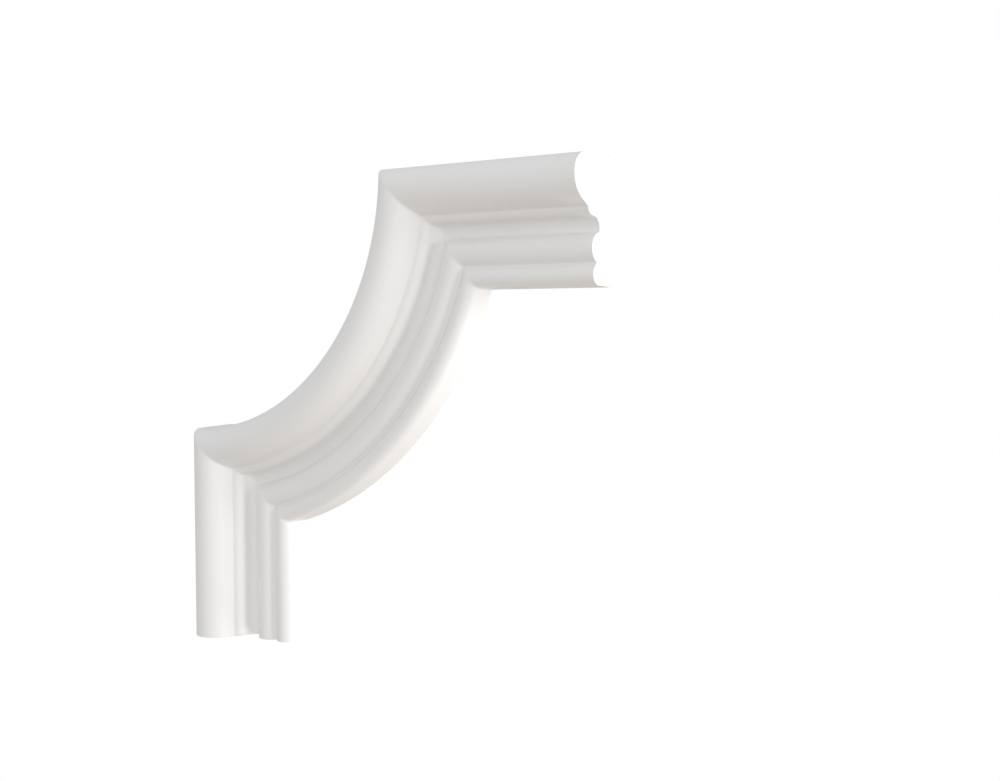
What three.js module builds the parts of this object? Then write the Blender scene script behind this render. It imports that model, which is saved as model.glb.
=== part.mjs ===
// Corner piece of a carved panel moulding, in millimetres.
// Two straight runs are joined by a quarter-round sweep, scooped in towards the corner of the
// panel. All of it has one section: a round nose, a ledge, a cove and two beads.
// +Z is up. The wall is the plane y = 0 and the carved face looks along -Y.
// The origin is on the flat back, in the middle of the sweep.

import * as THREE from 'three';
import { toCreasedNormals } from 'three/addons/utils/BufferGeometryUtils.js';

// Sizes of the corner, seen from the front
const SWEEP_RADIUS = 134.5; // outer edge of the sweep, round the point where the outer edges would meet
const STRAIGHT_RUN = 66; // straight length of the inner edge of each run, from mitre to cut end

// Widths and radii of the section's members, from the outer edge inwards
const SIDE_LEAN = 0.5; // how far each side leans in from the wall to the front
const NOSE_OUTER_RADIUS = 9.7;
const NOSE_INNER_RADIUS = 12.6;
const NOSE_SIDE_SLOPE = (61 * Math.PI) / 180; // steepness of the straight foot of its inner side
const LEDGE_WIDTH = 3.65;
const LEDGE_EDGE_RADIUS = 4.8;
const COVE_RADIUS = 5.1;
const COVE_WALL_LEAN = (8 * Math.PI) / 180; // how far the face above the cove's curve leans back
const COVE_FLOOR = 0.45; // flat floor between the cove's curve and the foot of the first bead
const FIRST_BEAD_RADIUS = 7.2;
const SECOND_BEAD_RADIUS = 5.2;
const BEAD_OVERLAP = 0.6; // how far the two beads run into each other
const BEAD_FOOT_RADIUS = 1.4; // hollow at the foot of the first bead
const CREASE_RADIUS = 0.8; // the other hollow lines between members

// Heights of the members off the wall
const COVE_BASE = 10; // thickness left under the cove
const COVE_LIP = 4.4; // edge of the ledge above the centre of the cove's curve
const LEDGE_FALL = 1.2; // how much the ledge drops from the nose to its edge
const NOSE_RISE = 11.8; // crest of the nose above the ledge
const FIRST_BEAD_RISE = 6.8; // crest of the first bead above the cove's floor
const SECOND_BEAD_RISE = 5.7;

// Fineness of the curves
const CURVE_TOLERANCE = 0.03; // largest gap between a curve and its facets
const CREASE_ANGLE = Math.PI / 6; // facets that meet more sharply than this show an edge

const QUARTER_TURN = Math.PI / 2;
const CORNER_HALF_ANGLE = Math.PI / 4;

// Angle of the line from one point of the section to another
function heading(from, to) {
  return Math.atan2(to.y - from.y, to.x - from.x);
}

// Number of flat facets that keep a curve within the tolerance
function facetCount(radius, sweep) {
  const facetAngle = 2 * Math.acos(1 - CURVE_TOLERANCE / radius);
  return Math.max(2, Math.ceil(Math.abs(sweep) / facetAngle));
}

// Points along an arc of the section. A crest turns clockwise and a hollow the other way.
function arcPoints(centre, radius, startAngle, endAngle, clockwise) {
  let sweep = (endAngle - startAngle) % (2 * Math.PI);
  if (clockwise && sweep > 0) sweep -= 2 * Math.PI;
  if (!clockwise && sweep < 0) sweep += 2 * Math.PI;
  const count = facetCount(radius, sweep);
  return Array.from({ length: count + 1 }, (_, i) => {
    const angle = startAngle + (sweep * i) / count;
    return new THREE.Vector2(Math.cos(angle), Math.sin(angle)).multiplyScalar(radius).add(centre);
  });
}

const crest = (centre, radius, start, end) => arcPoints(centre, radius, start, end, true);
const hollow = (centre, radius, start, end) => arcPoints(centre, radius, start, end, false);

// Centre of the arc that rounds the corner between two straight members, each given by the angle
// at which it faces. The radius is negative where the corner stands out.
function centreInCorner(corner, firstFacing, secondFacing, radius) {
  const first = new THREE.Vector2(Math.cos(firstFacing), Math.sin(firstFacing));
  const second = new THREE.Vector2(Math.cos(secondFacing), Math.sin(secondFacing));
  const reach = radius / (1 + first.dot(second));
  return corner.clone().addScaledVector(first, reach).addScaledVector(second, reach);
}

// Centre of the small hollow that touches both beads
function creaseBetweenBeads(first, second) {
  const apart = first.distanceTo(second);
  const firstReach = FIRST_BEAD_RADIUS + CREASE_RADIUS;
  const secondReach = SECOND_BEAD_RADIUS + CREASE_RADIUS;
  const along = (apart ** 2 + firstReach ** 2 - secondReach ** 2) / (2 * apart);
  const across = Math.sqrt(firstReach ** 2 - along ** 2);
  const direction = second.clone().sub(first).normalize();
  return first.clone().addScaledVector(direction, along)
    .add(new THREE.Vector2(-direction.y, direction.x).multiplyScalar(across));
}

// Distance from the crest of the nose to the point where the foot of its inner side meets the
// ledge
function noseReach() {
  const arcFall = NOSE_INNER_RADIUS * (1 - Math.cos(NOSE_SIDE_SLOPE));
  const arcReach = NOSE_INNER_RADIUS * Math.sin(NOSE_SIDE_SLOPE);
  return arcReach + (NOSE_RISE - arcFall) / Math.tan(NOSE_SIDE_SLOPE);
}

// Nose: two arcs of unlike radius that share a crest, a straight foot and the crease below it
function nosePoints(crestAt, crestHeight, ledgeStart, ledgeFacing) {
  const outerCentre = new THREE.Vector2(crestAt, crestHeight - NOSE_OUTER_RADIUS);
  const innerCentre = new THREE.Vector2(crestAt, crestHeight - NOSE_INNER_RADIUS);
  const sideFacing = QUARTER_TURN - NOSE_SIDE_SLOPE;
  const crease = centreInCorner(ledgeStart, sideFacing, ledgeFacing, CREASE_RADIUS);
  return [
    ...crest(outerCentre, NOSE_OUTER_RADIUS, Math.PI, QUARTER_TURN),
    ...crest(innerCentre, NOSE_INNER_RADIUS, QUARTER_TURN, sideFacing).slice(1),
    ...hollow(crease, CREASE_RADIUS, sideFacing + Math.PI, ledgeFacing + Math.PI),
  ];
}

// Centre of the cove's curve, which touches the leaning face below the edge of the ledge
function coveCentreBelow(ledgeEnd) {
  const reach = (COVE_RADIUS + COVE_LIP * Math.sin(COVE_WALL_LEAN)) / Math.cos(COVE_WALL_LEAN);
  return new THREE.Vector2(ledgeEnd.x + reach, COVE_BASE + COVE_RADIUS);
}

// The rounded edge of the ledge, the leaning face below it and the cove's curve
function covePoints(ledgeEnd, ledgeFacing, centre) {
  const edge = centreInCorner(ledgeEnd, ledgeFacing, COVE_WALL_LEAN, -LEDGE_EDGE_RADIUS);
  return [
    ...crest(edge, LEDGE_EDGE_RADIUS, ledgeFacing, COVE_WALL_LEAN),
    ...hollow(centre, COVE_RADIUS, Math.PI + COVE_WALL_LEAN, 1.5 * Math.PI),
  ];
}

// The two beads, with a hollow at the foot of the first and a crease between them
function beadPoints(first, second, foot) {
  const crease = creaseBetweenBeads(first, second);
  return [
    ...hollow(foot, BEAD_FOOT_RADIUS, -QUARTER_TURN, heading(foot, first)),
    ...crest(first, FIRST_BEAD_RADIUS, heading(first, foot), heading(first, crease)).slice(1),
    ...hollow(crease, CREASE_RADIUS, heading(crease, first), heading(crease, second)).slice(1),
    ...crest(second, SECOND_BEAD_RADIUS, heading(second, crease), 0).slice(1),
  ];
}

// The whole section. x is the distance from the outer edge and y the height off the wall. The
// points run from the back of the outer edge over the face to the back of the inner edge.
function sectionPoints() {
  const ledgeLow = COVE_BASE + COVE_RADIUS + COVE_LIP;
  const ledgeHigh = ledgeLow + LEDGE_FALL;
  const crestAt = SIDE_LEAN + NOSE_OUTER_RADIUS;
  const crestHeight = ledgeHigh + NOSE_RISE;

  const ledgeStart = new THREE.Vector2(crestAt + noseReach(), ledgeHigh);
  const ledgeEnd = new THREE.Vector2(ledgeStart.x + LEDGE_WIDTH, ledgeLow);
  const ledgeFacing = QUARTER_TURN - Math.atan(LEDGE_FALL / LEDGE_WIDTH);

  const coveCentre = coveCentreBelow(ledgeEnd);
  const beadFoot = new THREE.Vector2(coveCentre.x + COVE_FLOOR, COVE_BASE + BEAD_FOOT_RADIUS);

  const firstHeight = COVE_BASE + FIRST_BEAD_RISE - FIRST_BEAD_RADIUS;
  const secondHeight = COVE_BASE + SECOND_BEAD_RISE - SECOND_BEAD_RADIUS;
  const footReach = FIRST_BEAD_RADIUS + BEAD_FOOT_RADIUS;
  const firstAt = beadFoot.x + Math.sqrt(footReach ** 2 - (beadFoot.y - firstHeight) ** 2);
  const secondAt = firstAt + FIRST_BEAD_RADIUS + SECOND_BEAD_RADIUS - BEAD_OVERLAP;
  const firstBead = new THREE.Vector2(firstAt, firstHeight);
  const secondBead = new THREE.Vector2(secondAt, secondHeight);

  return [
    new THREE.Vector2(0, 0),
    ...nosePoints(crestAt, crestHeight, ledgeStart, ledgeFacing),
    ...covePoints(ledgeEnd, ledgeFacing, coveCentre),
    ...beadPoints(firstBead, secondBead, beadFoot),
    new THREE.Vector2(secondAt + SECOND_BEAD_RADIUS + SIDE_LEAN, 0),
  ];
}

// Angle round the sweep at which a line of the moulding, some way in from the outer edge, passes
// from the straight run into the sweep. The line keeps its distance from the edge, so the mitre
// between the run and the sweep is a parabola.
function mitreAngle(across) {
  return Math.asin(across / (SWEEP_RADIUS + across));
}

// Places along the moulding, from one cut end to the other. Each gives x and z of a line that
// runs some way in from the outer edge, from the point where the outer edges would meet.
function stationsAlong(width) {
  const mitreEnd = (SWEEP_RADIUS + width) * Math.cos(mitreAngle(width));
  const runReach = mitreEnd + STRAIGHT_RUN;
  const steps = facetCount(SWEEP_RADIUS, QUARTER_TURN);
  const sweep = Array.from({ length: steps + 1 }, (_, i) => (across) => {
    const start = mitreAngle(across);
    const angle = start + ((QUARTER_TURN - 2 * start) * i) / steps;
    const radius = SWEEP_RADIUS + across;
    return [radius * Math.cos(angle), -radius * Math.sin(angle)];
  });
  return [(across) => [runReach, -across], ...sweep, (across) => [across, -runReach]];
}

// Skin of the moulding: a band of facets from each station to the next, closed along the back,
// and a flat cut at either end
function mouldingGeometry() {
  const section = sectionPoints();
  const count = section.length;
  const width = section[count - 1].x;
  const stations = stationsAlong(width);
  const middle = (SWEEP_RADIUS + width / 2) * Math.cos(CORNER_HALF_ANGLE);

  const positions = stations.flatMap((station) => section.flatMap((point) => {
    const [x, z] = station(point.x);
    return [x - middle, -point.y, z + middle];
  }));

  const faces = [];
  for (let k = 0; k + 1 < stations.length; k += 1) {
    for (let j = 0; j < count; j += 1) {
      const here = k * count + j;
      const beside = k * count + ((j + 1) % count);
      faces.push(here, here + count, beside + count, here, beside + count, beside);
    }
  }
  const lastStation = (stations.length - 1) * count;
  for (const [a, b, c] of THREE.ShapeUtils.triangulateShape(section, [])) {
    faces.push(c, b, a);
    faces.push(lastStation + a, lastStation + b, lastStation + c);
  }

  const geometry = new THREE.BufferGeometry();
  geometry.setAttribute('position', new THREE.Float32BufferAttribute(positions, 3));
  geometry.setIndex(faces);
  return toCreasedNormals(geometry, CREASE_ANGLE);
}

// Primed finish: a warm, slightly satin white
const primedWhite = new THREE.MeshStandardMaterial({
  color: 0xf3f1ee,
  roughness: 0.55,
  metalness: 0,
});

const moulding = new THREE.Mesh(mouldingGeometry(), primedWhite);
moulding.name = 'corner_moulding';

const corner = new THREE.Group();
corner.add(moulding);

export default corner;
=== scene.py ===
"""Dresses the corner piece of a carved panel moulding.

The piece is one moulding with one section all along: a round nose, a ledge, a cove and two
beads. It is made as a maker would make the pattern for it. The section is drawn at the cut end
of the upper run, drawn out to the mitre and swept round the corner as far as the diagonal, and
the other half is its mirror image. Lengths are in millimetres until they are placed.
"""

import logging
import math
from collections.abc import Callable, Iterator
from contextlib import contextmanager
from dataclasses import dataclass, field
from enum import Enum

import bmesh
import bpy
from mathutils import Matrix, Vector

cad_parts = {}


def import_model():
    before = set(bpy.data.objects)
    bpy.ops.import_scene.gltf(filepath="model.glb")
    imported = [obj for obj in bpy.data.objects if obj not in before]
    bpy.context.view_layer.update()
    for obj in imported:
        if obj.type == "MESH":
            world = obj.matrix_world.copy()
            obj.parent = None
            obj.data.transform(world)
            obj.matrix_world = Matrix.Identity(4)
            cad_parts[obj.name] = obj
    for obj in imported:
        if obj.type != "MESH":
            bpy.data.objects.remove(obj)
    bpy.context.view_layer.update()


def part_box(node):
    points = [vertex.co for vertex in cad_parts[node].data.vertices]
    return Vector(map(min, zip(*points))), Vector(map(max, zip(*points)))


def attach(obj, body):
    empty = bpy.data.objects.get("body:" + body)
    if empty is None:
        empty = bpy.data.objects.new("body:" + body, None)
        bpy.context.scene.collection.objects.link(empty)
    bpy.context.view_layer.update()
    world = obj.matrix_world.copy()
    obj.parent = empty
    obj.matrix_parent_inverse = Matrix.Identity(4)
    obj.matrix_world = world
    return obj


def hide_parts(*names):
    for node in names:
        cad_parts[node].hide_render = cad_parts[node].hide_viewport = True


LOG = logging.getLogger("panel_corner")

MM = 0.001
QUARTER_TURN = math.pi / 2
HALF_CORNER = math.pi / 4

# Attribute of the mesh that says how near a vertex lies to a sharp crease, which sets the
# painted shade in the creases.
CREASE_MARK = "near_crease"

# Gaps in metres: points this near are one point, doubles this near are merged, and a vertex
# this near to a flat face belongs to it.
SAME_PLACE = 1e-6
MERGE_GAP = 2 * SAME_PLACE
FLAT = 1e-5

# Decimals of a metre by which the lines of a run are told apart.
LEVEL_DIGITS = 7

# Turn of a diagonal wave pattern over one unit of its own scaled length, in radians.
WAVE_TURN = 10.0

# A Mix node has inputs and outputs for every kind of data, and these are its colours.
MIX_FIRST_COLOUR = 6
MIX_SECOND_COLOUR = 7
MIX_COLOUR_RESULT = 2

Range = tuple[float, float]
Place = tuple[float, float, float]
Colour = tuple[float, float, float, float]
Setting = float | Place | Colour | bpy.types.NodeSocket
MeshPart = bmesh.types.BMVert | bmesh.types.BMEdge | bmesh.types.BMFace

WHITE: Colour = (1.0, 1.0, 1.0, 1.0)


class Bend(Enum):
    """Which way an arc of the section turns, seen with the wall below."""

    CREST = "clockwise"
    HOLLOW = "anticlockwise"


class Surface(Enum):
    """The surfaces of the moulding, each with the number of its material slot."""

    CARVED = 0
    CUT = 1
    BACK = 2


class Kind(Enum):
    """The kinds of mesh part that can be selected."""

    POINT = "VERT"
    EDGE = "EDGE"
    FACE = "FACE"


class Socket(Enum):
    """The kinds of socket that a shared effect has."""

    VALUE = "NodeSocketFloat"
    COLOUR = "NodeSocketColor"
    VECTOR = "NodeSocketVector"


@dataclass(frozen=True)
class Arc:
    """One round stretch of the section.

    Args:
        centre: Distance from the outer edge and height off the wall, in millimetres.
        radius: Radius in millimetres.
        start: Angle at which the arc starts, in radians.
        end: Angle at which it ends, in radians.
        bend: Which way it turns from start to end.
    """

    centre: Vector
    radius: float
    start: float
    end: float
    bend: Bend

    def point_at(self, angle: float) -> Vector:
        """Section point of the arc at an angle."""
        return self.centre + self.radius * Vector((math.cos(angle), math.sin(angle)))

    def sweep(self) -> float:
        """Angle from start to end, which is negative on a crest."""
        turned = (self.end - self.start) % math.tau
        return turned if self.bend is Bend.HOLLOW else turned - math.tau


def heading(origin: Vector, target: Vector) -> float:
    """Angle of the line from one section point to another, in radians."""
    return math.atan2(target.y - origin.y, target.x - origin.x)


def in_corner(corner: Vector, first: float, second: float, radius: float) -> Vector:
    """Finds the centre of the arc that rounds a corner of the section.

    Args:
        corner: Where the two straight members would meet.
        first: Angle at which the first member faces, in radians.
        second: Angle at which the second member faces, in radians.
        radius: Radius in millimetres, negative where the corner stands out.

    Returns:
        The centre of the arc.
    """
    faces = [Vector((math.cos(angle), math.sin(angle))) for angle in (first, second)]
    return corner + radius / (1 + faces[0].dot(faces[1])) * (faces[0] + faces[1])


@dataclass(frozen=True)
class Section:
    """The section of the moulding, member by member from the outer edge.

    Lengths are in millimetres and angles in radians.

    Args:
        side_lean: How far each side leans in, to let the piece out of its mould.
        nose_outer_radius: Radius of the nose from its side to its crest.
        nose_inner_radius: Radius of the nose from its crest to its straight foot.
        nose_side_slope: Steepness of that straight foot.
        nose_rise: Height of the crest above the start of the ledge.
        ledge_width: Width of the ledge, before its edge is rounded.
        ledge_fall: How far the ledge falls over that width.
        ledge_edge_radius: Radius of the ledge's edge.
        cove_radius: Radius of the cove.
        cove_wall_lean: How far the wall between ledge and cove leans from upright.
        cove_lip: Height of the ledge's end above the centre of the cove.
        cove_floor: Width of the cove's flat floor.
        cove_base: Height of that floor off the wall.
        first_bead_radius: Radius of the first bead.
        first_bead_rise: Height of the first bead above the cove's floor.
        second_bead_radius: Radius of the second bead.
        second_bead_rise: Height of the second bead above the cove's floor.
        bead_overlap: How far the circles of the two beads overlap.
        bead_foot_radius: Radius of the hollow at the foot of the first bead.
        crease_radius: Radius of the two sharp creases.
    """

    side_lean: float = 0.5
    nose_outer_radius: float = 9.7
    nose_inner_radius: float = 12.6
    nose_side_slope: float = math.radians(61.0)
    nose_rise: float = 11.8
    ledge_width: float = 3.65
    ledge_fall: float = 1.2
    ledge_edge_radius: float = 4.8
    cove_radius: float = 5.1
    cove_wall_lean: float = math.radians(8.0)
    cove_lip: float = 4.4
    cove_floor: float = 0.45
    cove_base: float = 10.0
    first_bead_radius: float = 7.2
    first_bead_rise: float = 6.8
    second_bead_radius: float = 5.2
    second_bead_rise: float = 5.7
    bead_overlap: float = 0.6
    bead_foot_radius: float = 1.4
    crease_radius: float = 0.8

    @property
    def ledge_start(self) -> Vector:
        """Point at which the nose would meet the ledge, with no crease between them."""
        height = self.cove_base + self.cove_radius + self.cove_lip + self.ledge_fall
        fall = self.nose_inner_radius * (1 - math.cos(self.nose_side_slope))
        reach = self.nose_inner_radius * math.sin(self.nose_side_slope)
        reach += (self.nose_rise - fall) / math.tan(self.nose_side_slope)
        return Vector((self.side_lean + self.nose_outer_radius + reach, height))

    @property
    def ledge_end(self) -> Vector:
        """Point at which the ledge would meet the cove's wall, before its edge is rounded."""
        return self.ledge_start + Vector((self.ledge_width, -self.ledge_fall))

    @property
    def ledge_slope(self) -> float:
        """Steepness of the ledge, in radians."""
        return math.atan2(self.ledge_fall, self.ledge_width)

    @property
    def cove(self) -> Vector:
        """Centre of the cove's curve."""
        lean = self.cove_wall_lean
        reach = (self.cove_radius + self.cove_lip * math.sin(lean)) / math.cos(lean)
        return Vector((self.ledge_end.x + reach, self.cove_base + self.cove_radius))

    @property
    def bead_foot(self) -> Vector:
        """Centre of the hollow at the foot of the first bead."""
        height = self.cove_base + self.bead_foot_radius
        return Vector((self.cove.x + self.cove_floor, height))

    @property
    def first_bead(self) -> Vector:
        """Centre of the first bead."""
        height = self.cove_base + self.first_bead_rise - self.first_bead_radius
        reach = self.first_bead_radius + self.bead_foot_radius
        foot = self.bead_foot
        return Vector((foot.x + math.sqrt(reach**2 - (foot.y - height) ** 2), height))

    @property
    def second_bead(self) -> Vector:
        """Centre of the second bead."""
        height = self.cove_base + self.second_bead_rise - self.second_bead_radius
        apart = self.first_bead_radius + self.second_bead_radius - self.bead_overlap
        return Vector((self.first_bead.x + apart, height))

    @property
    def width(self) -> float:
        """Width of the flat back."""
        return self.second_bead.x + self.second_bead_radius + self.side_lean

    def nose(self) -> list[Arc]:
        """Draws the nose, whose two arcs share its crest.

        Returns:
            The outer arc, the inner arc and the crease at the nose's straight foot.
        """
        across = self.side_lean + self.nose_outer_radius
        height = self.ledge_start.y + self.nose_rise
        outer = Vector((across, height - self.nose_outer_radius))
        inner = Vector((across, height - self.nose_inner_radius))
        side = QUARTER_TURN - self.nose_side_slope
        top = QUARTER_TURN - self.ledge_slope
        crease = in_corner(self.ledge_start, side, top, self.crease_radius)
        return [
            Arc(outer, self.nose_outer_radius, math.pi, QUARTER_TURN, Bend.CREST),
            Arc(inner, self.nose_inner_radius, QUARTER_TURN, side, Bend.CREST),
            Arc(crease, self.crease_radius, side + math.pi, top + math.pi, Bend.HOLLOW),
        ]

    def ledge_and_cove(self) -> list[Arc]:
        """Draws the ledge and the cove below it.

        Returns:
            The rounded edge of the ledge and the curve of the cove.
        """
        top, wall = QUARTER_TURN - self.ledge_slope, self.cove_wall_lean
        edge = in_corner(self.ledge_end, top, wall, -self.ledge_edge_radius)
        start, bottom = wall + math.pi, 3 * QUARTER_TURN
        return [
            Arc(edge, self.ledge_edge_radius, top, wall, Bend.CREST),
            Arc(self.cove, self.cove_radius, start, bottom, Bend.HOLLOW),
        ]

    def beads(self) -> list[Arc]:
        """Draws the two beads, each as high above the cove's floor as its rise says.

        Returns:
            The hollow at the first bead's foot, that bead, the crease and the second bead.
        """
        foot, first, second = self.bead_foot, self.first_bead, self.second_bead
        first_radius, second_radius = self.first_bead_radius, self.second_bead_radius
        small, foot_radius = self.crease_radius, self.bead_foot_radius
        first_reach, second_reach = first_radius + small, second_radius + small
        apart = (second - first).length
        ahead = (apart**2 + first_reach**2 - second_reach**2) / (2 * apart)
        along = (second - first).normalized()
        rise = math.sqrt(first_reach**2 - ahead**2) * Vector((-along.y, along.x))
        crease = first + ahead * along + rise
        return [
            Arc(foot, foot_radius, -QUARTER_TURN, heading(foot, first), Bend.HOLLOW),
            Arc(first, first_radius, heading(first, foot), heading(first, crease), Bend.CREST),
            Arc(crease, small, heading(crease, first), heading(crease, second), Bend.HOLLOW),
            Arc(second, second_radius, heading(second, crease), 0.0, Bend.CREST),
        ]

    def arcs(self) -> list[Arc]:
        """All the arcs of the face, from the outer edge to the inner one."""
        return self.nose() + self.ledge_and_cove() + self.beads()

    def creases(self) -> list[Arc]:
        """The sharp creases of the face, without the wider hollows."""
        hollows = [arc for arc in self.arcs() if arc.bend is Bend.HOLLOW]
        return [arc for arc in hollows if arc.radius <= self.crease_radius]


def select_alone(piece: bpy.types.Object) -> None:
    """Selects one piece in object mode, and no others.

    Args:
        piece: The object to select.
    """
    bpy.ops.object.select_all(action="DESELECT")
    bpy.context.view_layer.objects.active = piece
    piece.select_set(True)


@contextmanager
def edit_mode(piece: bpy.types.Object) -> Iterator[None]:
    """Puts one piece alone into edit mode, for as long as the block lasts.

    Args:
        piece: The mesh object to edit.
    """
    select_alone(piece)
    bpy.ops.object.mode_set(mode="EDIT")
    yield
    bpy.ops.object.mode_set(mode="OBJECT")


def select(piece: bpy.types.Object, kind: Kind, wanted: Callable[[MeshPart], bool]) -> None:
    """Selects parts of a piece in edit mode, and no others.

    Args:
        piece: The mesh object, which is in edit mode.
        kind: The kind of part to select.
        wanted: Says whether a part is wanted.
    """
    bpy.ops.mesh.select_mode(type=kind.value)
    bpy.ops.mesh.select_all(action="DESELECT")
    mesh = bmesh.from_edit_mesh(piece.data)
    parts = {Kind.POINT: mesh.verts, Kind.EDGE: mesh.edges, Kind.FACE: mesh.faces}[kind]
    for part in parts:
        part.select = wanted(part)
    mesh.select_flush_mode()
    bmesh.update_edit_mesh(piece.data)


def extrude(offset: Vector) -> None:
    """Extrudes what is selected by an offset in metres."""
    bpy.ops.mesh.extrude_region_move(TRANSFORM_OT_translate={"value": offset})


@dataclass(frozen=True)
class NodeBench:
    """Adds nodes to a tree and wires them.

    Args:
        tree: The node tree of a material, a world or a group.
    """

    tree: bpy.types.NodeTree

    def wire(self, start: bpy.types.NodeSocket, end: bpy.types.NodeSocket) -> None:
        """Wires an output socket to an input socket."""
        self.tree.links.new(start, end)

    def add(
        self,
        kind: str,
        sockets: dict[str | int, Setting] | None = None,
        **options: object,
    ) -> bpy.types.Node:
        """Adds one node.

        Args:
            kind: Type name of the node, without its first word.
            sockets: Value of each input, or the output socket that feeds it.
            options: Properties of the node.

        Returns:
            The new node.
        """
        node = self.tree.nodes.new("ShaderNode" + kind)
        for name, value in options.items():
            setattr(node, name, value)
        for name, value in (sockets or {}).items():
            if isinstance(value, bpy.types.NodeSocket):
                self.wire(value, node.inputs[name])
            else:
                node.inputs[name].default_value = value
        return node

    def calculate(self, operation: str, *values: Setting) -> bpy.types.NodeSocket:
        """Adds a sum on its values and returns the socket of the result."""
        return self.add("Math", dict(enumerate(values)), operation=operation).outputs[0]

    def spread(self, value: Setting, low: float, high: float) -> bpy.types.NodeSocket:
        """Spreads a value from 0 to 1 over a range and returns the socket of the result."""
        sockets = {"Value": value, "To Min": low, "To Max": high}
        return self.add("MapRange", sockets).outputs["Result"]

    def tint(self, share: Setting, first: Setting, second: Setting) -> bpy.types.NodeSocket:
        """Mixes two colours by a share of the second and returns the socket of the result."""
        sockets = {"Factor": share, MIX_FIRST_COLOUR: first, MIX_SECOND_COLOUR: second}
        return self.add("Mix", sockets, data_type="RGBA").outputs[MIX_COLOUR_RESULT]

    def noise(self, position: Setting, scale: Setting, detail: float) -> bpy.types.NodeSocket:
        """Adds a soft random pattern and returns the socket of its value."""
        sockets = {"Vector": position, "Scale": scale, "Detail": detail}
        return self.add("TexNoise", sockets).outputs["Fac"]


def start_effect(
    name: str, inputs: dict[str, Socket], outputs: dict[str, Socket]
) -> tuple[NodeBench, bpy.types.Node, bpy.types.Node]:
    """Makes an empty group for an effect that several finishes share.

    Args:
        name: Name of the group.
        inputs: Kind of each input.
        outputs: Kind of each output.

    Returns:
        A bench on the group, the node with its inputs and the node with its outputs.
    """
    tree = bpy.data.node_groups.new(name, "ShaderNodeTree")
    for title, kind in inputs.items():
        tree.interface.new_socket(title, in_out="INPUT", socket_type=kind.value)
    for title, kind in outputs.items():
        tree.interface.new_socket(title, in_out="OUTPUT", socket_type=kind.value)
    given = tree.nodes.new("NodeGroupInput")
    result = tree.nodes.new("NodeGroupOutput")
    return NodeBench(tree), given, result


class SharedEffects:
    """The effects that several finishes share, each built once.

    Attributes:
        GRAIN_DETAIL: Layers of ever finer noise in the grain.
        WAVE_DETAIL: Layers of noise in the waviness under the grain.
        DRIFT_DETAIL: Layers of noise in the drift of a tint.
        DRIFT_SPAN: Part of that noise over which one tint passes into the other.
        PORE_EDGE: Width of a pore's soft edge, as a share of the pattern's cell.
    """

    GRAIN_DETAIL = 2.5
    WAVE_DETAIL = 1.5
    DRIFT_DETAIL = 3.0
    DRIFT_SPAN = (0.35, 0.65)
    PORE_EDGE = 0.12

    def __init__(self) -> None:
        """Builds every effect."""
        self.grain = self.build_grain()
        self.drift = self.build_drift()
        self.pores = self.build_pores()

    def build_grain(self) -> bpy.types.NodeTree:
        """Builds the fine grain of a surface over its soft waviness.

        Returns:
            The group, which puts out a height from 0 to 1.
        """
        inputs = {
            "Position": Socket.VECTOR,
            "Grain Scale": Socket.VALUE,
            "Wave Scale": Socket.VALUE,
            "Wave Share": Socket.VALUE,
        }
        bench, given, result = start_effect("fine_grain", inputs, {"Height": Socket.VALUE})
        position = given.outputs["Position"]
        sockets = {
            "Factor": given.outputs["Wave Share"],
            "A": bench.noise(position, given.outputs["Grain Scale"], self.GRAIN_DETAIL),
            "B": bench.noise(position, given.outputs["Wave Scale"], self.WAVE_DETAIL),
        }
        bench.wire(bench.add("Mix", sockets).outputs["Result"], result.inputs["Height"])
        return bench.tree

    def build_drift(self) -> bpy.types.NodeTree:
        """Builds the slow drift of a white from one tint to another, in soft patches.

        Returns:
            The group, which puts out the colour and the share of the second tint.
        """
        inputs = {
            "Position": Socket.VECTOR,
            "Scale": Socket.VALUE,
            "First Tint": Socket.COLOUR,
            "Second Tint": Socket.COLOUR,
        }
        outputs = {"Colour": Socket.COLOUR, "Patch": Socket.VALUE}
        bench, given, result = start_effect("tint_drift", inputs, outputs)
        position, scale = given.outputs["Position"], given.outputs["Scale"]
        noise = bench.noise(position, scale, self.DRIFT_DETAIL)
        low, high = self.DRIFT_SPAN
        sockets = {"Value": noise, "From Min": low, "From Max": high}
        patch = bench.add("MapRange", sockets, interpolation_type="SMOOTHSTEP").outputs["Result"]
        colour = bench.tint(patch, given.outputs["First Tint"], given.outputs["Second Tint"])
        bench.wire(colour, result.inputs["Colour"])
        bench.wire(patch, result.inputs["Patch"])
        return bench.tree

    def build_pores(self) -> bpy.types.NodeTree:
        """Builds the scattered round pores of rigid foam.

        Returns:
            The group, which puts out 1 in a pore and 0 between them.
        """
        inputs = {"Position": Socket.VECTOR, "Scale": Socket.VALUE, "Size": Socket.VALUE}
        bench, given, result = start_effect("foam_pores", inputs, {"Pore": Socket.VALUE})
        position, scale = given.outputs["Position"], given.outputs["Scale"]
        cells = bench.add("TexVoronoi", {"Vector": position, "Scale": scale})
        pick = bench.add("SeparateColor", {"Color": cells.outputs["Color"]}).outputs["Red"]
        size = bench.calculate("MULTIPLY", given.outputs["Size"], pick)
        depth = bench.calculate("SUBTRACT", size, cells.outputs["Distance"])
        sockets = {"Value": depth, "From Max": self.PORE_EDGE}
        pore = bench.add("MapRange", sockets, interpolation_type="SMOOTHSTEP").outputs["Result"]
        bench.wire(pore, result.inputs["Pore"])
        return bench.tree


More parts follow.
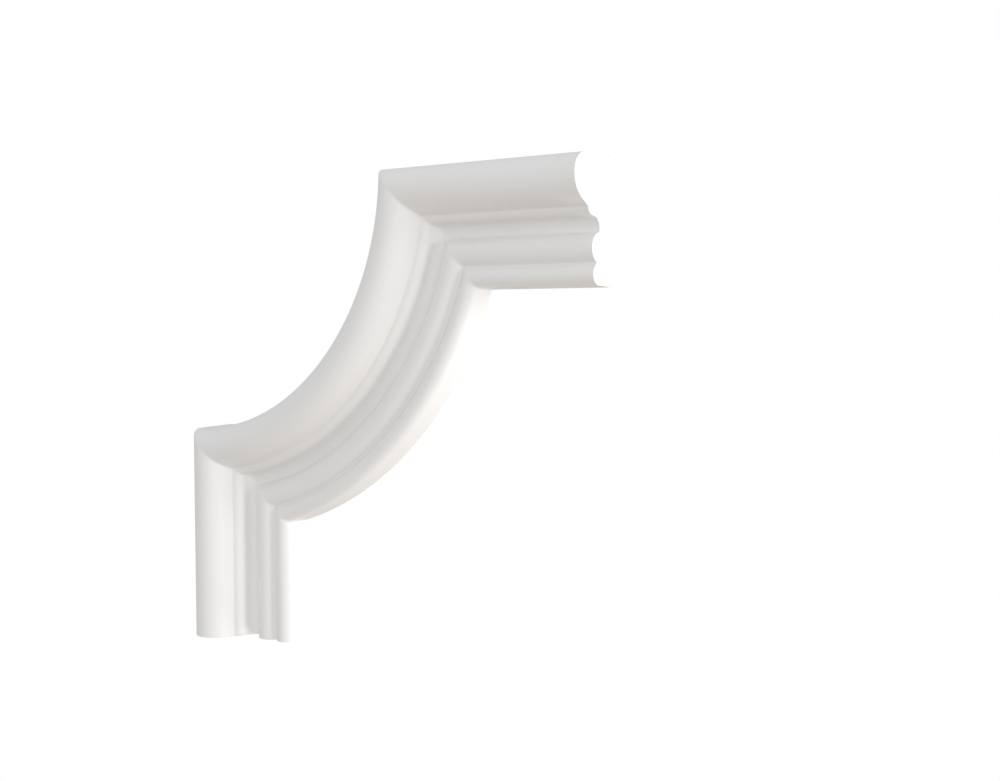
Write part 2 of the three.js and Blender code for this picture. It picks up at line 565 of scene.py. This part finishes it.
class Coat:
    """A material in the making, with the shared effects at hand."""

    def __init__(self, name: str, effects: SharedEffects) -> None:
        """Starts the material.

        Args:
            name: Name of the material.
            effects: The effects that the finishes share.
        """
        self.material = bpy.data.materials.new(name)
        self.material.use_nodes = True
        self.bench = NodeBench(self.material.node_tree)
        self.shader = self.material.node_tree.nodes["Principled BSDF"]
        self.position = self.bench.add("TexCoord").outputs["Object"]
        self.effects = effects

    def effect(self, tree: bpy.types.NodeTree, sockets: dict[str, Setting]) -> bpy.types.Node:
        """Places a shared effect with this material's own values."""
        sockets = {"Position": self.position, **sockets}
        return self.bench.add("Group", sockets, node_tree=tree)

    def drift(self, scale: float, first: Colour, second: Colour) -> bpy.types.Node:
        """Places the drift between two tints."""
        sockets = {"Scale": scale, "First Tint": first, "Second Tint": second}
        return self.effect(self.effects.drift, sockets)

    def grain(self, grain: float, wave: float, share: float) -> bpy.types.NodeSocket:
        """Places the fine grain and returns the socket of its height, from 0 to 1."""
        sockets = {"Grain Scale": grain, "Wave Scale": wave, "Wave Share": share}
        return self.effect(self.effects.grain, sockets).outputs["Height"]

    def pores(self, scale: float, size: float) -> bpy.types.NodeSocket:
        """Places the pores and returns the socket of their mask."""
        return self.effect(self.effects.pores, {"Scale": scale, "Size": size}).outputs["Pore"]

    def finish(
        self,
        colour: bpy.types.NodeSocket,
        roughness: bpy.types.NodeSocket,
        height: bpy.types.NodeSocket,
        gloss: float,
    ) -> bpy.types.Material:
        """Joins the patterns to the shader.

        Args:
            colour: The colour of the surface.
            roughness: The roughness of the surface.
            height: The relief of the surface, in millimetres.
            gloss: Level of the shine, the same all over.

        Returns:
            The finished material.
        """
        bump = self.bench.add("Bump", {"Strength": 1.0, "Distance": MM, "Height": height})
        self.bench.wire(colour, self.shader.inputs["Base Color"])
        self.bench.wire(roughness, self.shader.inputs["Roughness"])
        self.bench.wire(bump.outputs["Normal"], self.shader.inputs["Normal"])
        self.shader.inputs["Specular IOR Level"].default_value = gloss
        return self.material


@dataclass(frozen=True)
class PrimedFace:
    """Factory primer on the carved face: a warm, satin white with a fine sprayed grain.

    Args:
        thick_tint: Colour of the coat where it is thickest.
        thin_tint: Colour of the coat where it is thinnest.
        patch_scale: Scale of the patches of both tints.
        crease_shade_tint: Painted shade: colour in the sharp creases, for the shade that falls
            there.
        crease_shade_strength: How far the creases take that colour, and lose their shine.
        satin: Roughness of the coat, from its thickest to its thinnest.
        gloss: Level of the shine.
        grain_scale: Scale of the fine grain.
        wave_scale: Scale of the soft waviness.
        wave_share: Share of the waviness in the relief.
        grain_height: Height of the relief, in millimetres.
    """

    thick_tint: Colour = (0.918, 0.916, 0.9145, 1.0)
    thin_tint: Colour = (0.907, 0.9045, 0.902, 1.0)
    patch_scale: float = 14.0
    # Painted shade: the sharp creases are darkened towards this colour, for the shade that falls
    # in them.
    crease_shade_tint: Colour = (0.885, 0.877, 0.868, 1.0)
    crease_shade_strength: float = 0.65
    satin: Range = (0.42, 0.52)
    gloss: float = 0.4
    grain_scale: float = 900.0
    wave_scale: float = 110.0
    wave_share: float = 0.6
    grain_height: float = 0.012

    def build(self, effects: SharedEffects) -> bpy.types.Material:
        """Builds the material.

        Args:
            effects: The effects that the finishes share.

        Returns:
            The finished material.
        """
        coat = Coat("primed_carved_face", effects)
        bench = coat.bench
        drift = coat.drift(self.patch_scale, self.thick_tint, self.thin_tint)
        crease = bench.add("Attribute", attribute_name=CREASE_MARK).outputs["Fac"]
        # Painted shade: near a sharp crease the colour darkens and the roughness rises.
        crease_shade = bench.calculate("MULTIPLY", crease, self.crease_shade_strength)
        colour = bench.tint(crease_shade, drift.outputs["Colour"], self.crease_shade_tint)
        satin = bench.spread(drift.outputs["Patch"], *self.satin)
        roughness = bench.calculate("ADD", satin, crease_shade)
        grain = coat.grain(self.grain_scale, self.wave_scale, self.wave_share)
        height = bench.calculate("MULTIPLY", grain, self.grain_height)
        return coat.finish(colour, roughness, height, self.gloss)


@dataclass(frozen=True)
class SawnEnd:
    """The cut ends: close white foam, with saw lines across it and fine pores.

    Args:
        first_tint: One tint of the foam.
        second_tint: The other tint of the foam.
        patch_scale: Scale of the patches of both tints.
        pore_shade_tint: Painted shade: colour in the pores, for the shade inside them.
        pore_shade: How far the pores take that colour.
        pore_scale: Scale of the pattern of pores.
        pore_size: Radius of the largest pore, as a share of the pattern's cell.
        pore_depth: Depth of the pores, in millimetres.
        line_spacing: Distance between two saw lines, in millimetres.
        line_height: Height of the saw lines, in millimetres.
        line_slant: How much each axis counts in the slant of the saw lines.
        line_waver: How far the saw lines waver.
        line_detail: Layers of ever finer noise in that waver.
        line_detail_scale: Scale of that noise, next to the saw lines' own.
        roughness: Roughness between the saw lines and on them.
        gloss: Level of the shine.
    """

    first_tint: Colour = (0.918, 0.911, 0.896, 1.0)
    second_tint: Colour = (0.930, 0.925, 0.914, 1.0)
    patch_scale: float = 60.0
    # Painted shade: the pores are darkened towards this colour, for the shade inside them.
    pore_shade_tint: Colour = (0.850, 0.840, 0.820, 1.0)
    pore_shade: float = 0.6
    pore_scale: float = 1300.0
    pore_size: float = 0.42
    pore_depth: float = 0.10
    line_spacing: float = 1.1
    line_height: float = 0.03
    line_slant: Place = (1.0, 0.3, 1.0)
    line_waver: float = 2.5
    line_detail: float = 3.0
    line_detail_scale: float = 0.2
    roughness: Range = (0.72, 0.88)
    gloss: float = 0.3

    def build(self, effects: SharedEffects) -> bpy.types.Material:
        """Builds the material.

        Args:
            effects: The effects that the finishes share.

        Returns:
            The finished material.
        """
        coat = Coat("sawn_foam_end", effects)
        bench = coat.bench
        drift = coat.drift(self.patch_scale, self.first_tint, self.second_tint)
        pores = coat.pores(self.pore_scale, self.pore_size)
        # Painted shade: the pores are darkened, for the shade inside them.
        shaded = bench.calculate("MULTIPLY", pores, self.pore_shade)
        colour = bench.tint(shaded, drift.outputs["Colour"], self.pore_shade_tint)
        slant = bench.add("Mapping", {"Vector": coat.position, "Scale": self.line_slant})
        sockets = {
            "Vector": slant.outputs["Vector"],
            "Scale": math.tau / (WAVE_TURN * self.line_spacing * MM),
            "Distortion": self.line_waver,
            "Detail": self.line_detail,
            "Detail Scale": self.line_detail_scale,
        }
        lines = bench.add("TexWave", sockets, bands_direction="DIAGONAL").outputs["Fac"]
        raised = bench.calculate("MULTIPLY", lines, self.line_height)
        sunk = bench.calculate("MULTIPLY", pores, self.pore_depth)
        height = bench.calculate("SUBTRACT", raised, sunk)
        roughness = bench.spread(lines, *self.roughness)
        return coat.finish(colour, roughness, height, self.gloss)


@dataclass(frozen=True)
class SandedBack:
    """The flat back: the skin of the foam, sanded level for the adhesive.

    Args:
        primed_tint: Colour of the skin where the primer has run over it.
        bare_tint: Colour of the bare skin.
        patch_scale: Scale of the patches of both tints.
        pit_shade_tint: Painted shade: colour in the pits that sanding has opened, for the shade
            inside them.
        pit_shade: How far the pits take that colour.
        pit_scale: Scale of the pattern of pits.
        pit_size: Radius of the largest pit, as a share of the pattern's cell.
        pit_depth: Depth of the pits, in millimetres.
        grain_scale: Scale of the sanded grain.
        wave_scale: Scale of the soft waviness under it.
        wave_share: Share of the waviness in the relief.
        grain_height: Height of the relief, in millimetres.
        roughness: Roughness where the skin is primed and where it is bare.
        gloss: Level of the shine.
    """

    primed_tint: Colour = (0.912, 0.905, 0.888, 1.0)
    bare_tint: Colour = (0.872, 0.858, 0.826, 1.0)
    patch_scale: float = 24.0
    # Painted shade: the pits are darkened towards this colour, for the shade inside them.
    pit_shade_tint: Colour = (0.680, 0.658, 0.612, 1.0)
    pit_shade: float = 0.6
    pit_scale: float = 560.0
    pit_size: float = 0.38
    pit_depth: float = 0.12
    grain_scale: float = 1400.0
    wave_scale: float = 160.0
    wave_share: float = 0.4
    grain_height: float = 0.05
    roughness: Range = (0.7, 0.86)
    gloss: float = 0.3

    def build(self, effects: SharedEffects) -> bpy.types.Material:
        """Builds the material.

        Args:
            effects: The effects that the finishes share.

        Returns:
            The finished material.
        """
        coat = Coat("sanded_foam_back", effects)
        bench = coat.bench
        drift = coat.drift(self.patch_scale, self.primed_tint, self.bare_tint)
        pits = coat.pores(self.pit_scale, self.pit_size)
        # Painted shade: the pits are darkened, for the shade inside them.
        shaded = bench.calculate("MULTIPLY", pits, self.pit_shade)
        colour = bench.tint(shaded, drift.outputs["Colour"], self.pit_shade_tint)
        grain = coat.grain(self.grain_scale, self.wave_scale, self.wave_share)
        raised = bench.calculate("MULTIPLY", grain, self.grain_height)
        sunk = bench.calculate("MULTIPLY", pits, self.pit_depth)
        height = bench.calculate("SUBTRACT", raised, sunk)
        roughness = bench.spread(drift.outputs["Patch"], *self.roughness)
        return coat.finish(colour, roughness, height, self.gloss)


@dataclass
class PanelCorner:
    """The whole corner moulding, made as one piece.

    Args:
        section: The section that runs along the whole moulding.
        sweep_radius: Radius of the sweep's outer edge, round the corner, in millimetres.
        curve_tolerance: Largest gap between a curve of the section and its facets, in
            millimetres.
        fewest_facets: The fewest facets that a curve of the section has.
        sweep_steps: Facets of the sweep from the mitre to the diagonal.
        mitre_softness: Reach of the soft line to each side of a mitre, in millimetres.
        mitre_facets: Facets across that soft line.
        arris_softness: Reach of the broken edge from the edge of a cut end, in millimetres.
        arris_facets: Facets across that broken edge.
        crease_shade_reach: How far from a sharp crease its painted shade reaches, in
            millimetres.
        smooth_angle: Facets that meet more sharply than this show an edge, in radians.
    """

    section: Section = field(default_factory=Section)
    sweep_radius: float = 134.5
    curve_tolerance: float = 0.004
    fewest_facets: int = 3
    sweep_steps: int = 45
    mitre_softness: float = 1.0
    mitre_facets: int = 5
    arris_softness: float = 0.2
    arris_facets: int = 2
    # Painted shade spreads this far from each sharp crease.
    crease_shade_reach: float = 2.2
    smooth_angle: float = math.radians(32.0)

    def __post_init__(self) -> None:
        """Takes the cut end and the corner from the solid that the piece stands for."""
        low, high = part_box("corner_moulding")
        self.cut_end = high.x
        self.corner = Vector((low.x, high.y, high.z))

    def place(self, point: Vector) -> Vector:
        """Place of a section point at the cut end of the upper run, in metres."""
        across, height = point
        return Vector((self.cut_end, self.corner.y - height * MM, self.corner.z - across * MM))

    def mitre_at(self, level: float) -> float:
        """Finds where a line of the upper run meets the sweep.

        Every line of the moulding keeps its distance from the outer edge, so the mitre
        between a straight run and the round sweep is a parabola.

        Args:
            level: Height z of the line, in metres.

        Returns:
            The place x of the mitre on that line, in metres.
        """
        radius = self.sweep_radius * MM
        across = max(0.0, self.corner.z - level)
        return self.corner.x + math.sqrt(radius**2 + 2 * radius * across)

    def on_mitre(self, part: MeshPart) -> bool:
        """Whether an edge or face lies on the upper mitre."""
        return all(abs(v.co.x - self.mitre_at(v.co.z)) < SAME_PLACE for v in part.verts)

    def on_cut_end(self, part: MeshPart) -> bool:
        """Says whether an edge or face lies on either cut end.

        Args:
            part: The edge or face.

        Returns:
            Whether all its vertices are as far out from the corner as the cut ends.
        """
        reach = self.cut_end - self.corner.x
        places = (vertex.co - self.corner for vertex in part.verts)
        return all(abs(max(away.x, -away.z) - reach) < SAME_PLACE for away in places)

    def on_back(self, part: MeshPart) -> bool:
        """Whether an edge or face lies on the flat back."""
        return all(abs(vertex.co.y - self.corner.y) < FLAT for vertex in part.verts)

    def start_piece(self) -> bpy.types.Object:
        """Starts the piece as one vertex, at the back of the cut end's outer edge.

        Returns:
            The mesh object.
        """
        bpy.ops.object.select_all(action="DESELECT")
        bpy.ops.mesh.primitive_plane_add(size=MM, location=self.place(Vector((0.0, 0.0))))
        piece = bpy.context.active_object
        piece.name = piece.data.name = "panel_corner"
        bpy.ops.object.transform_apply(location=True, rotation=True, scale=True)
        with edit_mode(piece):
            bpy.ops.mesh.select_all(action="SELECT")
            bpy.ops.mesh.merge(type="CENTER")
        return piece

    def draw_line(self, start: Vector, end: Vector) -> None:
        """Draws a straight line of the section from the selected vertex."""
        extrude(self.place(end) - self.place(start))

    def draw_arc(self, arc: Arc) -> None:
        """Draws an arc of the section from the selected vertex.

        Args:
            arc: The arc, which starts at that vertex.
        """
        facet = 2 * math.acos(1 - self.curve_tolerance / arc.radius)
        bpy.ops.mesh.spin(
            steps=max(self.fewest_facets, math.ceil(abs(arc.sweep()) / facet)),
            angle=arc.sweep(),
            use_auto_merge=False,
            center=self.place(arc.centre),
            axis=(1.0, 0.0, 0.0),
        )

    def draw_section(self, piece: bpy.types.Object) -> None:
        """Draws the section at the cut end, arc by arc, and fills it.

        Args:
            piece: The piece, which is one vertex so far.
        """
        with edit_mode(piece):
            bpy.ops.mesh.select_all(action="SELECT")
            here = Vector((0.0, 0.0))
            for arc in self.section.arcs():
                start = arc.point_at(arc.start)
                if (start - here).length > self.curve_tolerance:
                    self.draw_line(here, start)
                self.draw_arc(arc)
                here = arc.point_at(arc.end)
            self.draw_line(here, Vector((self.section.width, 0.0)))
            select(piece, Kind.POINT, lambda v: abs(v.co.y - self.corner.y) < SAME_PLACE)
            bpy.ops.mesh.edge_face_add()
            bpy.ops.mesh.select_all(action="SELECT")
            bpy.ops.mesh.edge_face_add()

    def draw_out_run(self, piece: bpy.types.Object) -> None:
        """Draws the section out to the mitre, line by line.

        Args:
            piece: The piece, which is the filled section so far.
        """
        square = self.corner.x + self.sweep_radius * MM
        with edit_mode(piece):
            bpy.ops.mesh.select_all(action="SELECT")
            extrude(Vector((square - self.cut_end, 0.0, 0.0)))
            points = bmesh.from_edit_mesh(piece.data).verts
            for level in sorted({round(vertex.co.z, LEVEL_DIGITS) for vertex in points}):
                select(
                    piece,
                    Kind.POINT,
                    lambda v: round(v.co.z, LEVEL_DIGITS) == level
                    and abs(v.co.x - square) < SAME_PLACE,
                )
                bpy.ops.transform.translate(value=(self.mitre_at(level) - square, 0.0, 0.0))

    def sweep_round(self, piece: bpy.types.Object) -> None:
        """Sweeps the mitred section round the corner and trims it at the diagonal.

        Args:
            piece: The piece, which is the upper run so far.
        """
        steps = self.sweep_steps + 1
        with edit_mode(piece):
            select(piece, Kind.FACE, self.on_mitre)
            bpy.ops.mesh.spin(
                steps=steps,
                angle=steps * HALF_CORNER / self.sweep_steps,
                use_auto_merge=False,
                center=self.corner,
                axis=(0.0, -1.0, 0.0),
            )
            bpy.ops.mesh.select_all(action="SELECT")
            bpy.ops.mesh.bisect(
                plane_co=self.corner,
                plane_no=(1.0, 0.0, 1.0),
                clear_inner=True,
                threshold=SAME_PLACE,
            )

    def soften_edges(self, piece: bpy.types.Object) -> None:
        """Softens the line of the mitre, keeps the back flat and breaks the cut end's edge.

        Args:
            piece: The piece, which is the upper half so far.
        """
        with edit_mode(piece):
            bpy.ops.mesh.select_all(action="SELECT")
            bpy.ops.mesh.normals_make_consistent(inside=False)
            select(piece, Kind.EDGE, self.on_mitre)
            bpy.ops.mesh.bevel(
                offset=self.mitre_softness * MM, segments=self.mitre_facets, affect="EDGES"
            )
            select(piece, Kind.POINT, lambda v: v.co.y > self.corner.y - FLAT)
            bpy.ops.transform.resize(value=(1.0, 0.0, 1.0), center_override=self.corner)
            select(piece, Kind.EDGE, self.on_cut_end)
            bpy.ops.mesh.bevel(
                offset=self.arris_softness * MM, segments=self.arris_facets, affect="EDGES"
            )

    def mirror(self, piece: bpy.types.Object) -> None:
        """Adds the lower half as the mirror image of the upper one across the diagonal.

        Args:
            piece: The piece, which is the upper half so far.
        """
        bpy.ops.object.empty_add(location=self.corner, rotation=(0.0, HALF_CORNER, 0.0))
        diagonal = bpy.context.active_object
        select_alone(piece)
        half = piece.modifiers.new("lower_half", "MIRROR")
        half.mirror_object = diagonal
        half.use_axis = (False, False, True)
        half.use_mirror_merge = True
        half.merge_threshold = MERGE_GAP
        bpy.ops.object.modifier_apply(modifier=half.name)
        bpy.data.objects.remove(diagonal)
        with edit_mode(piece):
            bpy.ops.mesh.select_all(action="SELECT")
            bpy.ops.mesh.remove_doubles(threshold=MERGE_GAP)
            bpy.ops.mesh.normals_make_consistent(inside=False)

    def dress(self, piece: bpy.types.Object) -> None:
        """Gives each surface its finish, and the carved face all that isn't cut or back.

        Args:
            piece: The whole moulding, which has no materials yet.
        """
        effects = SharedEffects()
        finishes = {
            Surface.CARVED: PrimedFace(),
            Surface.CUT: SawnEnd(),
            Surface.BACK: SandedBack(),
        }
        for surface in Surface:
            piece.data.materials.append(finishes[surface].build(effects))
        for surface, belongs in ((Surface.CUT, self.on_cut_end), (Surface.BACK, self.on_back)):
            with edit_mode(piece):
                select(piece, Kind.FACE, belongs)
                piece.active_material_index = surface.value
                bpy.ops.object.material_slot_assign()

    def mark_creases(self, piece: bpy.types.Object) -> None:
        """Marks how near each vertex lies to a sharp crease, for the painted shade in the
        creases.

        Args:
            piece: The whole moulding.
        """
        creases = self.section.creases()
        mark = piece.data.attributes.new(CREASE_MARK, "FLOAT", "POINT")
        for vertex, value in zip(piece.data.vertices, mark.data):
            away = (vertex.co - self.corner) / MM
            across = min(-away.z, away.x, math.hypot(away.x, away.z) - self.sweep_radius)
            point = Vector((across, -away.y))
            gap = min((point - crease.centre).length - crease.radius for crease in creases)
            # Painted shade: 1 on a sharp crease, falling to 0 at the reach.
            value.value = min(1.0, max(0.0, 1.0 - gap / self.crease_shade_reach))

    def shade(self, piece: bpy.types.Object) -> None:
        """Shades the curves smooth and keeps the flat faces flat.

        Args:
            piece: The whole moulding.
        """
        select_alone(piece)
        bpy.ops.object.shade_smooth_by_angle(angle=self.smooth_angle)
        even = piece.modifiers.new("flat_faces_first", "WEIGHTED_NORMAL")
        even.keep_sharp = True
        bpy.ops.object.modifier_apply(modifier=even.name)

    def build(self) -> None:
        """Builds the finished piece in place of the solid."""
        piece = self.start_piece()
        self.draw_section(piece)
        self.draw_out_run(piece)
        self.sweep_round(piece)
        self.soften_edges(piece)
        self.mirror(piece)
        self.dress(piece)
        self.mark_creases(piece)
        self.shade(piece)
        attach(piece, "root")
        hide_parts("corner_moulding")
        LOG.info("%s: %d faces", piece.name, len(piece.data.polygons))


@dataclass(frozen=True)
class StudioFloor:
    """A plain pale floor, well below the moulding, which the camera sees as plain white.

    Args:
        level: Height of the floor, in metres.
        size: Length of its sides, in metres.
        tone: Colour of the light that it sends back up.
        roughness: Roughness of the floor.
    """

    level: float = -1.6
    size: float = 14.0
    tone: Colour = (0.62, 0.563, 0.505, 1.0)
    roughness: float = 0.9

    def build(self) -> None:
        """Lays the floor."""
        bpy.ops.object.select_all(action="DESELECT")
        bpy.ops.mesh.primitive_plane_add(size=self.size, location=(0.0, 0.0, self.level))
        floor = bpy.context.active_object
        floor.name = "studio_floor"
        material = bpy.data.materials.new("pale_floor")
        material.use_nodes = True
        bench = NodeBench(material.node_tree)
        pale = material.node_tree.nodes["Principled BSDF"]
        pale.inputs["Base Color"].default_value = self.tone
        pale.inputs["Roughness"].default_value = self.roughness
        white = bench.add("Emission", {"Color": WHITE})
        seen = bench.add("LightPath").outputs["Is Camera Ray"]
        sockets = {"Fac": seen, 1: pale.outputs["BSDF"], 2: white.outputs["Emission"]}
        shown = bench.add("MixShader", sockets).outputs["Shader"]
        bench.wire(shown, material.node_tree.nodes["Material Output"].inputs["Surface"])
        floor.data.materials.append(material)
        LOG.info("%s: %.0f m square", floor.name, self.size)


@dataclass(frozen=True)
class Softbox:
    """A large, soft light that faces the moulding.

    Args:
        name: Name of the light.
        place: Where it hangs, in metres.
        size: Length of its sides, in metres.
        power: Power in watts.
    """

    name: str
    place: Place
    size: float
    power: float

    def build(self) -> None:
        """Hangs the light."""
        turn = (-Vector(self.place)).to_track_quat("-Z", "Y").to_euler()
        bpy.ops.object.light_add(type="AREA", location=self.place, rotation=turn)
        light = bpy.context.active_object
        light.name = self.name
        light.data.shape = "SQUARE"
        light.data.size = self.size
        light.data.energy = self.power
        LOG.info("%s: %.1f W", self.name, self.power)


@dataclass(frozen=True)
class StudioLight:
    """Soft white light from all round, with three softboxes at the right.

    Args:
        surround: Strength of the light from all round.
        surround_tone: Colour of that light.
        backdrop: Strength of the plain white that the camera sees all round instead.
        key: The strongest softbox, square to the cut end.
        rim: The softbox that lights the inner sides, low down and behind the wall plane.
        fill: The large, weak softbox nearest the camera.
    """

    surround: float = 0.655
    surround_tone: Colour = (0.982, 0.990, 1.0, 1.0)
    backdrop: float = 1.0
    key: Softbox = Softbox("key_at_right", (1.99, 0.0, 0.2), size=0.7, power=13.8)
    rim: Softbox = Softbox("rim_from_behind", (1.16, 1.16, -1.15), size=0.7, power=10.5)
    fill: Softbox = Softbox("fill_in_front", (1.15, -1.64, 0.0), size=1.3, power=7.2)

    def build(self) -> None:
        """Lights the scene."""
        world = bpy.data.worlds.new("white_studio")
        bpy.context.scene.world = world
        world.use_nodes = True
        bench = NodeBench(world.node_tree)
        seen = bench.add("LightPath").outputs["Is Camera Ray"]
        background = world.node_tree.nodes["Background"]
        tone = bench.tint(seen, self.surround_tone, WHITE)
        strength = bench.spread(seen, self.surround, self.backdrop)
        bench.wire(tone, background.inputs["Color"])
        bench.wire(strength, background.inputs["Strength"])
        for softbox in (self.key, self.rim, self.fill):
            softbox.build()


@dataclass(frozen=True)
class StudioCamera:
    """The camera, at the photograph's angle.

    Args:
        place: Where it stands, in metres.
        turn: How far it is turned to the left of straight ahead, in radians.
        tilt: How far it looks down, in radians.
        lens: Focal length in millimetres.
        sensor: Width of the sensor, in millimetres.
        nearest: Distance from which things are seen, in metres.
    """

    place: Place = (0.40989, -0.49466, 0.03956)
    turn: float = 0.5975
    tilt: float = 0.05445
    lens: float = 43.97
    sensor: float = 36.0
    nearest: float = 0.01

    def build(self) -> None:
        """Sets up the camera and makes it the scene's own."""
        rotation = (QUARTER_TURN - self.tilt, 0.0, self.turn)
        bpy.ops.object.camera_add(location=self.place, rotation=rotation)
        camera = bpy.context.active_object
        camera.name = "studio_camera"
        camera.data.sensor_fit = "HORIZONTAL"
        camera.data.sensor_width = self.sensor
        camera.data.lens = self.lens
        camera.data.clip_start = self.nearest
        camera.data.dof.use_dof = False
        bpy.context.scene.camera = camera
        LOG.info("%s: %.1f mm", camera.name, self.lens)


def main() -> None:
    """Builds the camera, the stage, the lights and the moulding."""
    logging.basicConfig(level=logging.INFO, format="%(name)s %(message)s")
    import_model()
    StudioCamera().build()
    StudioFloor().build()
    StudioLight().build()
    PanelCorner().build()
    bpy.context.scene.view_settings.view_transform = "Standard"


if __name__ == "__main__":
    main()
